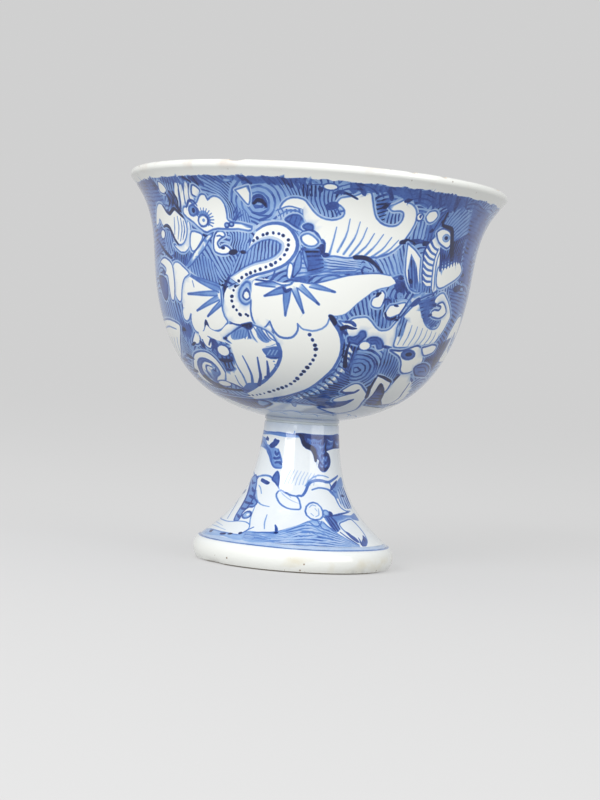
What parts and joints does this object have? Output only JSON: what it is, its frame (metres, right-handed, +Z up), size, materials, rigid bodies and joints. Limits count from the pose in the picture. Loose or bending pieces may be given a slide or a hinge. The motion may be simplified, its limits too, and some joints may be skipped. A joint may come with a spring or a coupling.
{
  "type": "porcelain stem cup",
  "caption": "Small porcelain stem cup: a deep round bowl with a flaring lip, luted to a hollow trumpet-shaped stem with a rounded foot edge.",
  "frame": {"origin": "centre of the flat foot ring, on the plane that the cup stands on", "axes": "+Z up along the axis of the bowl and stem; -Y is the side that the picture shows"},
  "size_m": [0.0804, 0.0804, 0.0812],
  "materials": {
    "painted_porcelain": "glossy clear glaze over cobalt painting",
    "stem_porcelain": "glossy clear glaze over cobalt painting",
    "luting_slip": "glazed white slip"
  },
  "bodies": {
    "root": {"bowl": "painted_porcelain", "stem_foot": "stem_porcelain", "luting_ring": "luting_slip"}
  },
  "joints": []
}
